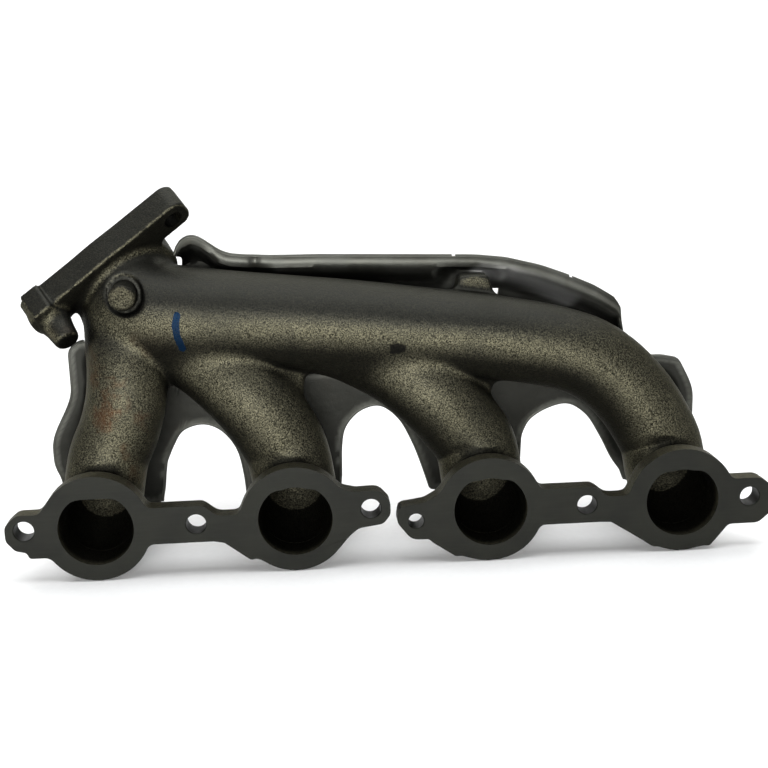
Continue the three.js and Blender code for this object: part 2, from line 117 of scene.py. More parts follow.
LOW = np.array([-221.0, -3.0, -33.0])
HIGH = np.array([224.0, 137.5, 188.0])
COUNT = np.ceil((HIGH - LOW) / VOXEL).astype(int) + 1
AXES = [(LOW[k] + VOXEL * np.arange(COUNT[k])).astype(np.float32) for k in range(3)]
FAR = 30.0


def window(low, high):
    """Slices of the grid that cover a box, and the coordinates along each axis, ready to broadcast."""
    cut = []
    for k in range(3):
        a = max(int((low[k] - LOW[k]) / VOXEL), 0)
        b = min(int((high[k] - LOW[k]) / VOXEL) + 2, COUNT[k])
        cut.append(slice(a, b))
    x, y, z = (AXES[k][cut[k]] for k in range(3))
    return tuple(cut), x[:, None, None], y[None, :, None], z[None, None, :]


def smin(a, b, k):
    h = np.maximum(k - np.abs(a - b), 0) / k
    return np.minimum(a, b) - h * h * (k / 4)


def smax(a, b, k):
    return -smin(-a, -b, k)


def blank():
    return np.full(COUNT, FAR, np.float32)


def spline(points, step=4.0):
    """Centripetal Catmull-Rom curve through rows of (x, y, z, radius)."""
    p = np.array(points, float)
    p = np.vstack([2 * p[0] - p[1], p, 2 * p[-1] - p[-2]])
    out = []
    for i in range(1, len(p) - 2):
        a, b, c, d = p[i - 1:i + 3]
        t0, t1, t2 = (max(np.linalg.norm((v - u)[:3]), 1e-6) ** 0.5 for u, v in ((a, b), (b, c), (c, d)))
        m1 = ((b - a) / t0 - (c - a) / (t0 + t1) + (c - b) / t1) * t1
        m2 = ((c - b) / t1 - (d - b) / (t1 + t2) + (d - c) / t2) * t1
        n = max(1, int(np.linalg.norm((c - b)[:3]) / step))
        for t in np.arange(n) / n:
            h = (2 * t**3 - 3 * t * t + 1, t**3 - 2 * t * t + t, -2 * t**3 + 3 * t * t, t**3 - t * t)
            out.append(h[0] * b + h[1] * m1 + h[2] * c + h[3] * m2)
    out.append(p[-2])
    return np.array(out)


def tube(points, grow=0.0):
    """Distance to a pipe of varying radius along a curve."""
    field = blank()
    path = spline(points)
    for a, b in zip(path[:-1], path[1:]):
        reach = max(a[3], b[3]) + grow + 15
        cut, x, y, z = window(np.minimum(a, b)[:3] - reach, np.maximum(a, b)[:3] + reach)
        ab = b[:3] - a[:3]
        t = ((x - a[0]) * ab[0] + (y - a[1]) * ab[1] + (z - a[2]) * ab[2]) / (ab @ ab)
        t = np.clip(t, 0, 1)
        d = np.sqrt((x - a[0] - t * ab[0]) ** 2 + (y - a[1] - t * ab[1]) ** 2 + (z - a[2] - t * ab[2]) ** 2)
        d -= a[3] + grow + t * (b[3] - a[3])
        field[cut] = np.minimum(field[cut], d)
    return field


def rod(a, b, ra, rb, k=2.0):
    """Distance to a round bar or cone between two points with flat ends. Returns (slices, distance)."""
    a, b = np.array(a, float), np.array(b, float)
    length = np.linalg.norm(b - a)
    axis = (b - a) / length
    reach = max(ra, rb) + 16
    cut, x, y, z = window(np.minimum(a, b) - reach, np.maximum(a, b) + reach)
    s = (x - a[0]) * axis[0] + (y - a[1]) * axis[1] + (z - a[2]) * axis[2]
    r2 = (x - a[0]) ** 2 + (y - a[1]) ** 2 + (z - a[2]) ** 2 - s * s
    side = np.sqrt(np.maximum(r2, 0)) - (ra + (rb - ra) * np.clip(s / length, 0, 1))
    return cut, smax(side, np.abs(s - length / 2) - length / 2, k)


def join(field, part, k):
    cut, d = part
    field[cut] = smin(field[cut], d, k)


def outline_distance(corners, u, v):
    """Signed distance in a plane to a polygon whose corners (u, v, radius) are rounded."""
    ring = []
    count = len(corners)
    for i, (cx, cy, *rest) in enumerate(corners):
        radius = rest[0] if rest else 0.0
        here = np.array([cx, cy], float)
        back, ahead = (np.array(corners[(i + s) % count][:2], float) - here for s in (-1, 1))
        lengths = np.linalg.norm(back), np.linalg.norm(ahead)
        half = math.acos(np.clip(back @ ahead / (lengths[0] * lengths[1]), -1, 1)) / 2
        reach = min(radius / math.tan(half), lengths[0] / 2, lengths[1] / 2)
        if reach < 0.01:
            ring.append(here)
            continue
        a, b = here + back / lengths[0] * reach, here + ahead / lengths[1] * reach
        for t in np.linspace(0, 1, 7):
            ring.append((1 - t) ** 2 * a + 2 * t * (1 - t) * here + t * t * b)
    best, inside = None, np.zeros(np.broadcast(u, v).shape, bool)
    for a, b in zip(ring, ring[1:] + ring[:1]):
        e = b - a
        if e @ e < 1e-9:
            continue
        t = np.clip(((u - a[0]) * e[0] + (v - a[1]) * e[1]) / (e @ e), 0, 1)
        d = (u - a[0] - t * e[0]) ** 2 + (v - a[1] - t * e[1]) ** 2
        best = d if best is None else np.minimum(best, d)
        crosses = ((a[1] > v) != (b[1] > v)) & (u < a[0] + (v - a[1]) * e[0] / (e[1] if e[1] else 1e-9))
        inside ^= crosses
    return np.where(inside, -1, 1) * np.sqrt(best)


def rounded_box_2d(u, v, cu, cv, hu, hv, r):
    du, dv = np.abs(u - cu) - hu + r, np.abs(v - cv) - hv + r
    return np.sqrt(np.maximum(du, 0) ** 2 + np.maximum(dv, 0) ** 2) + np.minimum(np.maximum(du, dv), 0) - r


LUGS = [
    [[(-160, 24), (-192, 16, 8), (-199, 11, 6), (-211, 11, 7), (-217.9, 5, 6), (-217.9, -4, 5),
      (-213, -9.8, 4), (-207, -11.2, 1), (-205.4, -14.8, 1), (-190, -14.8, 8), (-160, -26)],
     [(-50, 26), (-31, 18, 10), (-21, 15.6, 6), (-8, 16, 8), (-1.7, 9, 6), (-1.7, 1, 5), (-6, -4.4, 6),
      (-20, -6.2, 8), (-32, -16, 8), (-50, -20)]],
    [[(50, 26), (30, 14, 8), (18, 7.2, 8), (3, 5.2, 4), (1.7, -4, 6), (10, -14.8, 8), (20, -15, 2),
      (22.6, -17.6, 2), (35.4, -26.4, 1), (39, -26, 1), (54, -28)],
     [(160, 25), (188, 22, 8), (195, 12.6, 4), (213, 12.6, 6), (221, 7, 6), (221, -8, 6), (213, -15, 6),
      (195, -15, 3), (192, -18, 2), (184.6, -28, 1), (178.6, -26.6, 1), (160, -22)]],
]
# Where the lower edge of each web leaves it and where it meets the right-hand ring.
WEB_SLOPES = [((-96.5, -11), (-82, -22.2)), ((126, -10.2), (151, -26.4))]


def head_plates(field):
    cut, x, y, z = window((-224, -3, -33), (224, PLATE + 14, 34))
    flat_x, flat_z = x[:, 0, :], z[:, 0, :]
    outline = None
    for pair, left in enumerate((PORTS[0], PORTS[2])):
        right = left + PORT_PITCH
        start, end = WEB_SLOPES[pair]
        web = [(left, 11.8), (left + 60, 11.8, 6), (left + 68, 5.4, 8), (left + 80, 5.4, 6),
               (right - 22, 22, 6), (right, 22), (right, -20), (end[0] + 3, end[1] + 0.8, 0.8),
               (*end, 0.8), (*start, 2), (start[0] - 6, -9.8, 3), (left, -9.8)]
        shapes = [outline_distance(web, flat_x, flat_z)]
        shapes += [outline_distance(lug, flat_x, flat_z) for lug in LUGS[pair]]
        plate = shapes[0]
        for shape in shapes[1:]:
            plate = smin(plate, shape, 2)
        for port in (left, right):
            ring = np.hypot(flat_x - port, flat_z - RING_Z) - RING_RADIUS
            plate = smin(plate, ring, 3)
        outline = plate if outline is None else np.minimum(outline, plate)
    outline = outline[:, None, :]
    slab = np.maximum(-4 - y, y - PLATE)
    plate = smax(outline.astype(np.float32), slab.astype(np.float32) + 0 * outline.astype(np.float32), 2.2)
    field[cut] = smin(field[cut], plate, 5)


def outlet_flange(field):
    cut, x, y, z = window((-224, 18, 80), (-98, 138, 189))
    dx, dy, dz = x - OUTLET[0], y - OUTLET[1], z - OUTLET[2]
    u, v, w = (dx * e[0] + dy * e[1] + dz * e[2] for e in (ALONG, ACROSS, NORMAL))
    bar = rounded_box_2d(u, v, 0, -26, 55.5, LUG, 7.5)
    far = rounded_box_2d(u, v, 0, 46, LUG, 16.5, 8)
    ring = np.hypot(u, v) - 30.8
    shape = smin(smin(bar, ring, 10), far, 10)
    slab = np.abs(w + OUTLET_PLATE / 2 - 1.5) - OUTLET_PLATE / 2 - 1.5
    plate = smax(shape, slab, 1.5)
    # The left near lug ends in a block that stands a little proud of the plate's side.
    block = smax(rounded_box_2d(u, v, -44.8, -32.6, 6.2, 7.2, 1.4), np.abs(w + 8.4) - 9, 1.2)
    plate = smin(plate, block, 0.6)
    field[cut] = smin(field[cut], plate, 7)


def on_outlet(u, v, w):
    return OUTLET + ALONG * u + ACROSS * v + NORMAL * w


def port_start(port, radius, start):
    return [(port, start, 0, radius), (port, 8, 0, radius), (port, 18, 0.6, radius), (port, 34.5, 9, radius)]


def runner_points(i, start):
    upper = RUNNER_UPPER[i]
    points = port_start(PORTS[i], upper[0][3], start) + upper
    if i == 3:
        for depth, shift, radius in ((36, -1.5, 31), (20, -2, 29.6), (3 if start > 0 else -3, 0, 30.8)):
            points.append((*on_outlet(shift, 0, -depth), radius))
    return points


PAD = (-147.5, 126.5, 7.6, 27.0)
# Cast webs that close the sharp corners where runners 2 and 3 fork off the log.
WEBS = [((-60, 72), (-48, 70)), ((54, 66), (64, 65))]


def casting_field():
    body = tube(runner_points(3, 3))
    for i, fillet in enumerate((6, 7, 7)):
        body = smin(body, tube(runner_points(i, 3)), fillet)
    for (x, z), (end_x, end_z) in WEBS:
        join(body, rod((x, 50, z), (end_x, 50, end_z), 7, 5, 4), 8)
    head_plates(body)
    outlet_flange(body)
    lug = on_outlet(-45, -25, -OUTLET_PLATE + 3)
    join(body, rod(lug, on_outlet(-45, -25, -OUTLET_PLATE - 19), 9.6, 7, 3), 7)
    for name, (x, z, pad, root, _) in FIXINGS.items():
        face = boss_face(pad)
        join(body, rod((x, root, z), (x, face + 2, z), BOSS + 2, BOSS), 6)
        if name == "log_right":
            cut, gx, gy, gz = window((x - 26, root - 16, z - 34), (x + 26, 90, z + 30))
            shape = rounded_box_2d(gx, gz, x, z - 4.75, BOSS, 17.25, 3.5)
            slab = np.abs(gy - (root + 70) / 2) - (70 - root) / 2
            join(body, (cut, smax(shape + 0 * gy, slab + 0 * shape, 1.6)), 3)
    # Pad on the collector, in a shallow groove.
    px, pz, pr, face = PAD
    cut, x, y, z = window((px - 26, 14, pz - 26), (px + 26, 60, pz + 26))
    radial = np.hypot(x - px, z - pz) + 0 * y
    here = body[cut]
    groove = np.maximum(np.abs(radial - pr - 1.2) - 1.4, -(here + 1.8))
    here = smax(here, -groove, 2.2)
    body[cut] = smin(here, smax(radial - pr, face - y, 0.8), 0.6)
    # Gas passages.
    for i in range(4):
        body = smax(body, -tube(runner_points(i, -6), -WALL), 1.5)
    body[:, 0] = np.maximum(body[:, 0], 1.0)
    return body


def sample(field, p):
    """Trilinear value of a field at points in millimetres."""
    g = (p - LOW) / VOXEL
    g = np.clip(g, 0, COUNT - 1.001)
    i = g.astype(int)
    f = g - i
    out = 0
    for dx in (0, 1):
        for dy in (0, 1):
            for dz in (0, 1):
                w = ((f[:, 0] if dx else 1 - f[:, 0]) * (f[:, 1] if dy else 1 - f[:, 1])
                     * (f[:, 2] if dz else 1 - f[:, 2]))
                out = out + w * field[i[:, 0] + dx, i[:, 1] + dy, i[:, 2] + dz]
    return out


def gradient(field, p, step):
    cols = []
    for k in range(3):
        e = np.zeros(3)
        e[k] = step
        cols.append(sample(field, p + e) - sample(field, p - e))
    g = np.stack(cols, 1)
    return g / np.maximum(np.linalg.norm(g, axis=1, keepdims=True), 1e-9)


def surface(field):
    """Vertices and quads of the zero surface, by surface nets."""
    inside = field < 0
    n = np.array(field.shape)
    total = np.zeros(n - 1, np.int8)
    for dx in (0, 1):
        for dy in (0, 1):
            for dz in (0, 1):
                total += inside[dx:n[0] - 1 + dx, dy:n[1] - 1 + dy, dz:n[2] - 1 + dz]
    cells = np.argwhere((total > 0) & (total < 8))
    number = np.full(n - 1, -1, np.int64)
    number[tuple(cells.T)] = np.arange(len(cells))
    corner = {}
    for c in np.ndindex(2, 2, 2):
        corner[c] = field[cells[:, 0] + c[0], cells[:, 1] + c[1], cells[:, 2] + c[2]].astype(float)
    point, crossings = np.zeros((len(cells), 3)), np.zeros(len(cells))
    for c in corner:
        for axis in range(3):
            if c[axis]:
                continue
            d = tuple(1 if k == axis else c[k] for k in range(3))
            fa, fb = corner[c], corner[d]
            hit = (fa < 0) != (fb < 0)
            t = np.where(hit, fa / np.where(hit, fa - fb, 1), 0)
            where = np.tile(np.array(c, float), (len(cells), 1))
            where[:, axis] += t
            point[hit] += where[hit]
            crossings += hit
    p = LOW + (cells + point / crossings[:, None]) * VOXEL
    quads = []
    for axis in range(3):
        u, v = (axis + 1) % 3, (axis + 2) % 3
        first = [slice(None)] * 3
        second = [slice(None)] * 3
        first[axis], second[axis] = slice(0, n[axis] - 1), slice(1, n[axis])
        a, b = inside[tuple(first)], inside[tuple(second)]
        for sign in (True, False):
            edge = np.argwhere(a & ~b if sign else ~a & b)
            edge = edge[(edge[:, u] > 0) & (edge[:, v] > 0) & (edge[:, u] < n[u] - 1) & (edge[:, v] < n[v] - 1)]
            ring = []
            for du, dv in ((-1, -1), (0, -1), (0, 0), (-1, 0)):
                cell = edge.copy()
                cell[:, u] += du
                cell[:, v] += dv
                ring.append(number[tuple(cell.T)])
            ring = np.stack(ring, 1)
            quads.append(ring if sign else ring[:, ::-1])
    for _ in range(2):
        g = gradient(field, p, VOXEL * 0.6)
        p -= g * np.clip(sample(field, p), -VOXEL / 2, VOXEL / 2)[:, None]
    return p, np.concatenate(quads)


# ---- mesh helpers --------------------------------------------------------------------------------


def new_object(name, points, faces):
    mesh = bpy.data.meshes.new(name)
    mesh.from_pydata((np.asarray(points) * MM).tolist(), [], [list(map(int, f)) for f in faces])
    mesh.update()
    obj = bpy.data.objects.new(name, mesh)
    bpy.context.collection.objects.link(obj)
    return obj


def loft(rings):
    """Closed solid through rings of equal point counts."""
    count = len(rings[0])
    points = np.concatenate(rings)
    faces = []
    for i in range(len(rings) - 1):
        for j in range(count):
            a, b = i * count + j, i * count + (j + 1) % count
            faces.append((a, b, b + count, a + count))
    faces.append(tuple(range(count))[::-1])
    faces.append(tuple(range((len(rings) - 1) * count, len(rings) * count)))
    return points, faces


def turned(profile, centre, axis, side, count):
    """Solid of revolution: profile rows are (distance along axis, radius)."""
    axis, side = np.array(axis, float), np.array(side, float)
    other = np.cross(axis, side)
    angle = np.arange(count) * 2 * np.pi / count
    circle = np.cos(angle)[:, None] * side + np.sin(angle)[:, None] * other
    return loft([np.array(centre) + axis * s + circle * r for s, r in profile])


def merge(parts):
    points, faces, base = [], [], 0
    for p, f in parts:
        points.append(p)
        faces += [tuple(i + base for i in face) for face in f]
        base += len(p)
    return np.concatenate(points), faces


def outward(obj):
    bm = bmesh.new()
    bm.from_mesh(obj.data)
    bmesh.ops.recalc_face_normals(bm, faces=bm.faces)
    bm.to_mesh(obj.data)
    bm.free()
    return obj


def apply_all(obj):
    graph = bpy.context.evaluated_depsgraph_get()
    mesh = bpy.data.meshes.new_from_object(obj.evaluated_get(graph))
    obj.modifiers.clear()
    obj.data = mesh
    return obj


def carve(obj, *groups):
    """Cuts each group of solids from obj, exactly."""
    for group in groups:
        tool = outward(new_object("cut", *merge(group)))
        m = obj.modifiers.new("cut", "BOOLEAN")
        m.operation, m.solver, m.object = "DIFFERENCE", "MANIFOLD", tool
        apply_all(obj)
        bpy.data.objects.remove(tool)
    return obj


def smooth_by_angle(obj, degrees):
    mesh = obj.data
    mesh.polygons.foreach_set("use_smooth", np.ones(len(mesh.polygons), bool))
    bm = bmesh.new()
    bm.from_mesh(mesh)
    limit = math.radians(degrees)
    for e in bm.edges:
        e.smooth = len(e.link_faces) == 2 and e.calc_face_angle(0) < limit
    bm.to_mesh(mesh)
    bm.free()
    return obj


def box_solid(low, high):
    (a, b, c), (d, e, f) = low, high
    ring = lambda z: np.array([(a, b, z), (d, b, z), (d, e, z), (a, e, z)], float)
    return loft([ring(c), ring(f)])


def bar_y(x, z, profile, count=48):
    """Turned solid along +Y through (x, z)."""
    return turned(profile, (x, 0, z), (0, 1, 0), (1, 0, 0), count)


def store(obj, name, values):
    """A value per vertex, for the materials."""
    a = obj.data.attributes.new(name, "FLOAT", "POINT")
    a.data.foreach_set("value", np.asarray(values, np.float32))


def vertices_mm(obj):
    co = np.empty(len(obj.data.vertices) * 3, np.float32)
    obj.data.vertices.foreach_get("co", co)
    return co.reshape(-1, 3).astype(float) / MM


# ---- casting -------------------------------------------------------------------------------------


def port_mouth(port, radius):
    """Cutter with a flattened round mouth that blends into the round passage."""
    angle = np.arange(64) * 2 * np.pi / 64
    c, s = np.cos(angle), np.sin(angle)
    mouth_x, mouth_z = PORT_WIDTH / 2 * c, 0.7 + smin(PORT_WIDTH / 2 * s, PORT_FLAT, 2.5)
    rings = []
    for y, k in ((-1, 0), (5, 0), (9, 0.35), (13, 0.8), (17, 1)):
        rings.append(np.stack([port + mouth_x + (radius * c - mouth_x) * k, np.full(64, float(y)),
                               mouth_z + (radius * s - mouth_z) * k], 1))
    return loft(rings)


def build_casting():
    field = casting_field()
    obj = outward(new_object("casting", *surface(field)))
    head_face = [box_solid((-300, -40, -90), (300, 0, 250))]
    outlet_face = [turned([(0, 90), (60, 90)], OUTLET, NORMAL, ALONG, 32)]
    mouths = [port_mouth(PORTS[i], RUNNER_UPPER[i][0][3] - WALL - 0.2) for i in range(4)]
    mouths += [bar_y(x, z, [(-1, d / 2 + 1.1), (0.6, d / 2), (PLATE + 14, d / 2)]) for x, z, d in BOLT_HOLES]
    bore = OUTLET_BORE / 2
    drills = [turned([(-14, bore), (-0.8, bore), (0.6, bore + 1.4)], OUTLET, NORMAL, ALONG, 96)]
    for (u, v), depth in zip(OUTLET_BOLTS, OUTLET_DRILLS):
        drill = [(-depth, OUTLET_HOLE), (-0.7, OUTLET_HOLE), (0.4, OUTLET_HOLE + 1.1)]
        drills.append(turned(drill, on_outlet(u, v, 0), NORMAL, ALONG, 40))
    faces, threads = [], []
    for x, z, pad, _, depth in FIXINGS.values():
        face = boss_face(pad)
        faces.append(bar_y(x, z, [(face, 14), (face + 8, 14)]))
        threads.append(bar_y(x, z, [(face - depth, 4.4), (face - 0.7, 4.4), (face + 0.3, 5.4)], 32))
    carve(obj, head_face, outlet_face, mouths, drills, faces, threads)
    p = vertices_mm(obj)
    n = gradient(field, p, VOXEL)
    # Painted shade in hollows and creases: darker where the casting still lies close 7 mm out along the normal.
    painted_cavity_shade = np.clip(1 - sample(field, p + n * 7) / 7, 0, 1)
    # The ports, the cast pad and the outlet's bolt holes get a set amount of painted shade instead, darker
    # deeper into each port.
    for port in PORTS:
        inside = (np.hypot(p[:, 0] - port, p[:, 2] - 0.7) < PORT_WIDTH / 2 + 0.4) & (p[:, 1] < 44)
        painted_cavity_shade[inside] = np.clip((p[inside, 1] - 1) / 7, 0, 1)
    painted_cavity_shade[(np.hypot(p[:, 0] - PAD[0], p[:, 2] - PAD[1]) < PAD[2]) & (p[:, 1] < PAD[3] + 1)] = 0.42
    for u, v in OUTLET_BOLTS:
        q = p - on_outlet(u, v, 0)
        along = q @ NORMAL
        painted_cavity_shade[(np.linalg.norm(q - along[:, None] * NORMAL, axis=1) < 5.7) & (along < -1)] = 0.7
    store(obj, "painted_cavity_shade", painted_cavity_shade)
    store(obj, "worn", np.clip(1 + sample(field, p - n * 2.2) / 2.2, 0, 1))
    smooth_by_angle(obj, 34)
    mesh = obj.data
    count = len(mesh.polygons)
    centre, normal = np.empty(count * 3, np.float32), np.empty(count * 3, np.float32)
    mesh.polygons.foreach_get("center", centre)
    mesh.polygons.foreach_get("normal", normal)
    centre, normal = centre.reshape(-1, 3) / MM, normal.reshape(-1, 3)
    head = (np.abs(centre[:, 1]) < 0.02) & (normal[:, 1] < -0.99)
    outlet = (np.abs((centre - OUTLET) @ NORMAL) < 0.02) & (normal @ NORMAL > 0.99)
    turned_faces = head | outlet
    for _, _, pad, _, _ in FIXINGS.values():
        turned_faces |= (np.abs(centre[:, 1] - boss_face(pad)) < 0.02) & (normal[:, 1] > 0.99)
    for x, z, d in BOLT_HOLES:
        bored = np.hypot(centre[:, 0] - x, centre[:, 2] - z) < d / 2 + 0.6
        turned_faces |= bored & (centre[:, 1] < PLATE + 1)
    return obj, np.where(turned_faces, 1, 0)


# ---- heat shield ---------------------------------------------------------------------------------

RIM_Y, LIP, LEG_Y, SHIELD_BOTTOM, PAD_HALF = 70.0, 5.6, 83.0, -13.0, 10.5
TOP = np.array([
    (-187, 89), (-181, 94), (-174, 94), (-163, 88), (-140, 88), (-134, 95), (-126, 118), (-122, 144),
    (-117.5, 152), (-111.5, 155), (-106.5, 153.5), (-101, 149.5), (-95, 145), (-89, 142.6), (-78, 141.4),
    (-62, 140.6), (-35, 140.2), (13, 138.4), (40, 137.4), (59, 136.6), (77, 134.4), (98, 129), (114, 123),
    (131, 115.5), (142.6, 108.4), (147.2, 104.8), (148.2, 101), (148.6, 88), (149.4, 79), (151.5, 73),
    (156, 71), (168, 70.2), (184, 70), (194, 68)])
LAYERS = {"inner": (0.0, 0.8), "mat": (1.2, 2.4), "outer": (2.8, 3.6)}
NECK_HOLE, HEM_HOLE = 38, 38.4
EAR_SLOT = (13, 19.5)
# Where the hem's lip is nicked through: (x, z).
HEM_NOTCHES = ((45.3, 137.6), (117, 122.3))
ARCHES = [
    [(-139, -10), (-137, 11), (-131, 24), (-125, 33), (-112, 37), (-101, 33), (-91, 20), (-87, 2), (-86, -10)],
    [(-27, -5), (-27, 14), (-24, 30), (-14, 41), (-1, 44), (11, 35), (20, 18), (26, 1), (30, -12)],
    [(87, -5), (87, 18), (93, 30), (106, 38), (119, 40), (131, 32), (141, 16), (148, 2), (155, -8)],
]


def ease(t):
    t = np.clip(t, 0, 1)
    return t * t * (3 - 2 * t)


def top_edge(x):
    return np.interp(x, TOP[:, 0], TOP[:, 1])


def shield_x(station, z):
    left = 4 * ease((20 - z) / 14) - 14 * ease((66 - z) / 38)
    right = -12 * ease((z - 44) / 34)
    return station + left * ease((-165 - station) / 18) + right * ease((station - 164) / 26)


def shield_y(station, z):
    """The front face of the sheet."""
    x = shield_x(station, z)
    rim = top_edge(station) - LIP + 2.4 * ease((-92 - station) / 14)
    wall = LEG_Y + (2 + 13 * ease((80 - station) / 180)) * ease((z - 62) / 24)
    inwards = ease((station + 181) / 22) * ease((188 - station) / 22) * ease((rim - z) / 15)
    y = RIM_Y + (wall - RIM_Y) * inwards
    for fx, fz, pad, *_ in FIXINGS.values():
        away = (np.abs(x - fx) ** 5 + np.abs(z - fz) ** 5) ** 0.2 - PAD_HALF
        y = y + (pad - y) * (1 - ease((away - 0.5) / 13)) * ease((rim - z) / 3)
    # The dart where the lip was gathered, and the rolled front edge.
    y = y + 1.6 * np.exp(-((station + 74) / 2.2) ** 2) * ease((z - rim + 12) / 10)
    return y + 1.8 * ease((z - rim - 3) / 4) ** 2


def shield_grid(step):
    stations = np.linspace(-187, 194, int(381 / step) + 1)
    rows = int(150 / step)
    v = np.linspace(0, 1, rows)
    top = top_edge(stations)
    z = SHIELD_BOTTOM + (top[:, None] - SHIELD_BOTTOM) * v[None, :]
    s = np.repeat(stations[:, None], rows, 1)
    return np.stack([shield_x(s, z), shield_y(s, z), z], 2)


def sheet(grid, low, high):
    """Closed sheet between two offsets along +Y."""
    nx, nz = grid.shape[:2]
    near, far = grid.copy(), grid.copy()
    near[:, :, 1] += low
    far[:, :, 1] += high
    points = np.concatenate([near.reshape(-1, 3), far.reshape(-1, 3)])
    k = np.arange(nx * nz).reshape(nx, nz)
    a, b, c, d = (q.ravel() for q in (k[:-1, :-1], k[1:, :-1], k[1:, 1:], k[:-1, 1:]))
    off = nx * nz
    faces = [np.stack([a, b, c, d], 1), np.stack([d, c, b, a], 1) + off]
    for edge in (k[:, 0], k[:, -1][::-1], k[0, :][::-1], k[-1, :]):
        faces.append(np.stack([edge[1:], edge[:-1], edge[:-1] + off, edge[1:] + off], 1))
    return points, np.concatenate(faces)


def arch_outline(arch):
    curve = spline([(x, z, 0, 0) for x, z in arch[1:]], 1.6)[:, :2]
    return np.vstack([[(arch[0][0], SHIELD_BOTTOM - 6)], [arch[0]], curve, [(curve[-1][0], SHIELD_BOTTOM - 6)]])


def prism_y(outline, low, high):
    o = np.asarray(outline, float)
    ring = lambda y: np.stack([o[:, 0], np.full(len(o), float(y)), o[:, 1]], 1)
    return loft([ring(low), ring(high)])


def crescent(x, z):
    a = np.linspace(-0.02, -np.pi + 0.02, 25)
    near, far = EAR_SLOT
    outer = np.stack([x + far * np.cos(a), z + far * np.sin(a)], 1)
    inner = np.stack([x + near * np.cos(a[::-1]), z + near * np.sin(a[::-1])], 1)
    return np.vstack([outer, inner])


def neck_cutter(radius):
    return turned([(-55, radius), (75, radius)], on_outlet(-5, 5, 0), NORMAL, ALONG, 72)


def bead(path, half_y, half_side, sides=10):
    """Closed folded edge along a closed path of (x, y, z), flattened along the sheet."""
    ahead, back = np.roll(path, -1, 0), np.roll(path, 1, 0)
    t = ahead - back
    t /= np.maximum(np.linalg.norm(t, axis=1, keepdims=True), 1e-9)
    up = np.array([0.0, 1.0, 0.0]) - t * t[:, 1:2]
    up /= np.linalg.norm(up, axis=1, keepdims=True)
    side = np.cross(t, up)
    rings = []
    for j in range(sides):
        a = (j + 0.5) * 2 * np.pi / sides
        c, s = math.cos(a), math.sin(a)
        rise = up * (half_y * np.sign(s) * abs(s) ** 0.7)
        rings.append(path + rise + side * (half_side * np.sign(c) * abs(c) ** 0.8))
    points = np.stack(rings, 1).reshape(-1, 3)
    count = len(path)
    faces = []
    for i in range(count):
        for j in range(sides):
            a, b = i * sides + j, i * sides + (j + 1) % sides
            c, d = (i + 1) % count * sides + (j + 1) % sides, (i + 1) % count * sides + j
            faces.append((a, b, c, d))
    return points, faces


def hem_path():
    """The sheet's whole edge: up the left side, along the lip, down the right side and round the arches."""
    loop = []
    for z in np.arange(SHIELD_BOTTOM, top_edge(-187), 2.0):
        loop.append((-187, z))
    for s in np.arange(-187, 194.1, 2.0):
        loop.append((s, top_edge(s)))
    for z in np.arange(top_edge(194), SHIELD_BOTTOM, -2.0):
        loop.append((194, z))
    right = 194.0
    for arch in ARCHES[::-1]:
        outline = arch_outline(arch)
        outline = outline[(outline[:, 1] > SHIELD_BOTTOM + 0.5)][::-1]
        for s in np.arange(right, outline[0][0], -2.5):
            loop.append((s, SHIELD_BOTTOM))
        loop.append((outline[0][0], SHIELD_BOTTOM))
        loop += list(map(tuple, outline))
        loop.append((outline[-1][0], SHIELD_BOTTOM))
        right = outline[-1][0]
    for s in np.arange(right, -187, -2.5):
        loop.append((s, SHIELD_BOTTOM))
    p = np.array(loop, float)
    keep = np.linalg.norm(p - np.roll(p, 1, 0), axis=1) > 0.4
    p = p[keep]
    s, z = p[:, 0], p[:, 1]
    path = np.stack([shield_x(s, z), shield_y(s, z) + 1.8, z], 1)
    for _ in range(2):
        path = path * 0.5 + (np.roll(path, 1, 0) + np.roll(path, -1, 0)) * 0.25
    return path


def build_shield():
    step = 2.0
    grid = shield_grid(step)
    arches = [prism_y(arch_outline(a), 50, 125) for a in ARCHES]
    holes = [bar_y(x, z, [(60, 6), (125, 6)], 32) for x, z, *_ in FIXINGS.values()]
    ear_x, ear_z = FIXINGS["log_right"][:2]
    slot = [prism_y(crescent(ear_x, ear_z), 60, 125)]
    made = {}
    for name, (low, high) in LAYERS.items():
        obj = outward(new_object(f"heat_shield_{name}", *sheet(grid, low, high)))
        carve(obj, arches + holes, slot, [neck_cutter(NECK_HOLE)])
        smooth_by_angle(obj, 40)
        made[name] = obj
    hem = outward(new_object("heat_shield_hem", *bead(hem_path(), 2.0, 1.15)))
    notches = [box_solid((x - 1.2, 66, z - 2.4), (x + 1.2, 80, z + 2)) for x, z in HEM_NOTCHES]
    carve(hem, [neck_cutter(HEM_HOLE)], notches)
    smooth_by_angle(hem, 60)
    made["hem"] = hem
    return made


# ---- fixings -------------------------------------------------------------------------------------


def ring_y(x, z, y0, y1, inner, outer, chamfer, count):
    """A washer or sleeve along +Y as a closed tube with chamfered edges."""
    c = chamfer
    section = [(y0, inner + c), (y0, outer - c), (y0 + c, outer), (y1 - c, outer), (y1, outer - c),
               (y1, inner + c), (y1 - c, inner), (y0 + c, inner)]
    angle = np.arange(count) * 2 * np.pi / count
    points, faces, m = [], [], len(section)
    for a in angle:
        points += [(x + r * math.cos(a), y, z + r * math.sin(a)) for y, r in section]
    for i in range(count):
        for j in range(m):
            a, b = i * m + j, i * m + (j + 1) % m
            k = (i + 1) % count * m
            faces.append((a, b, k + (j + 1) % m, k + j))
    return np.array(points), faces


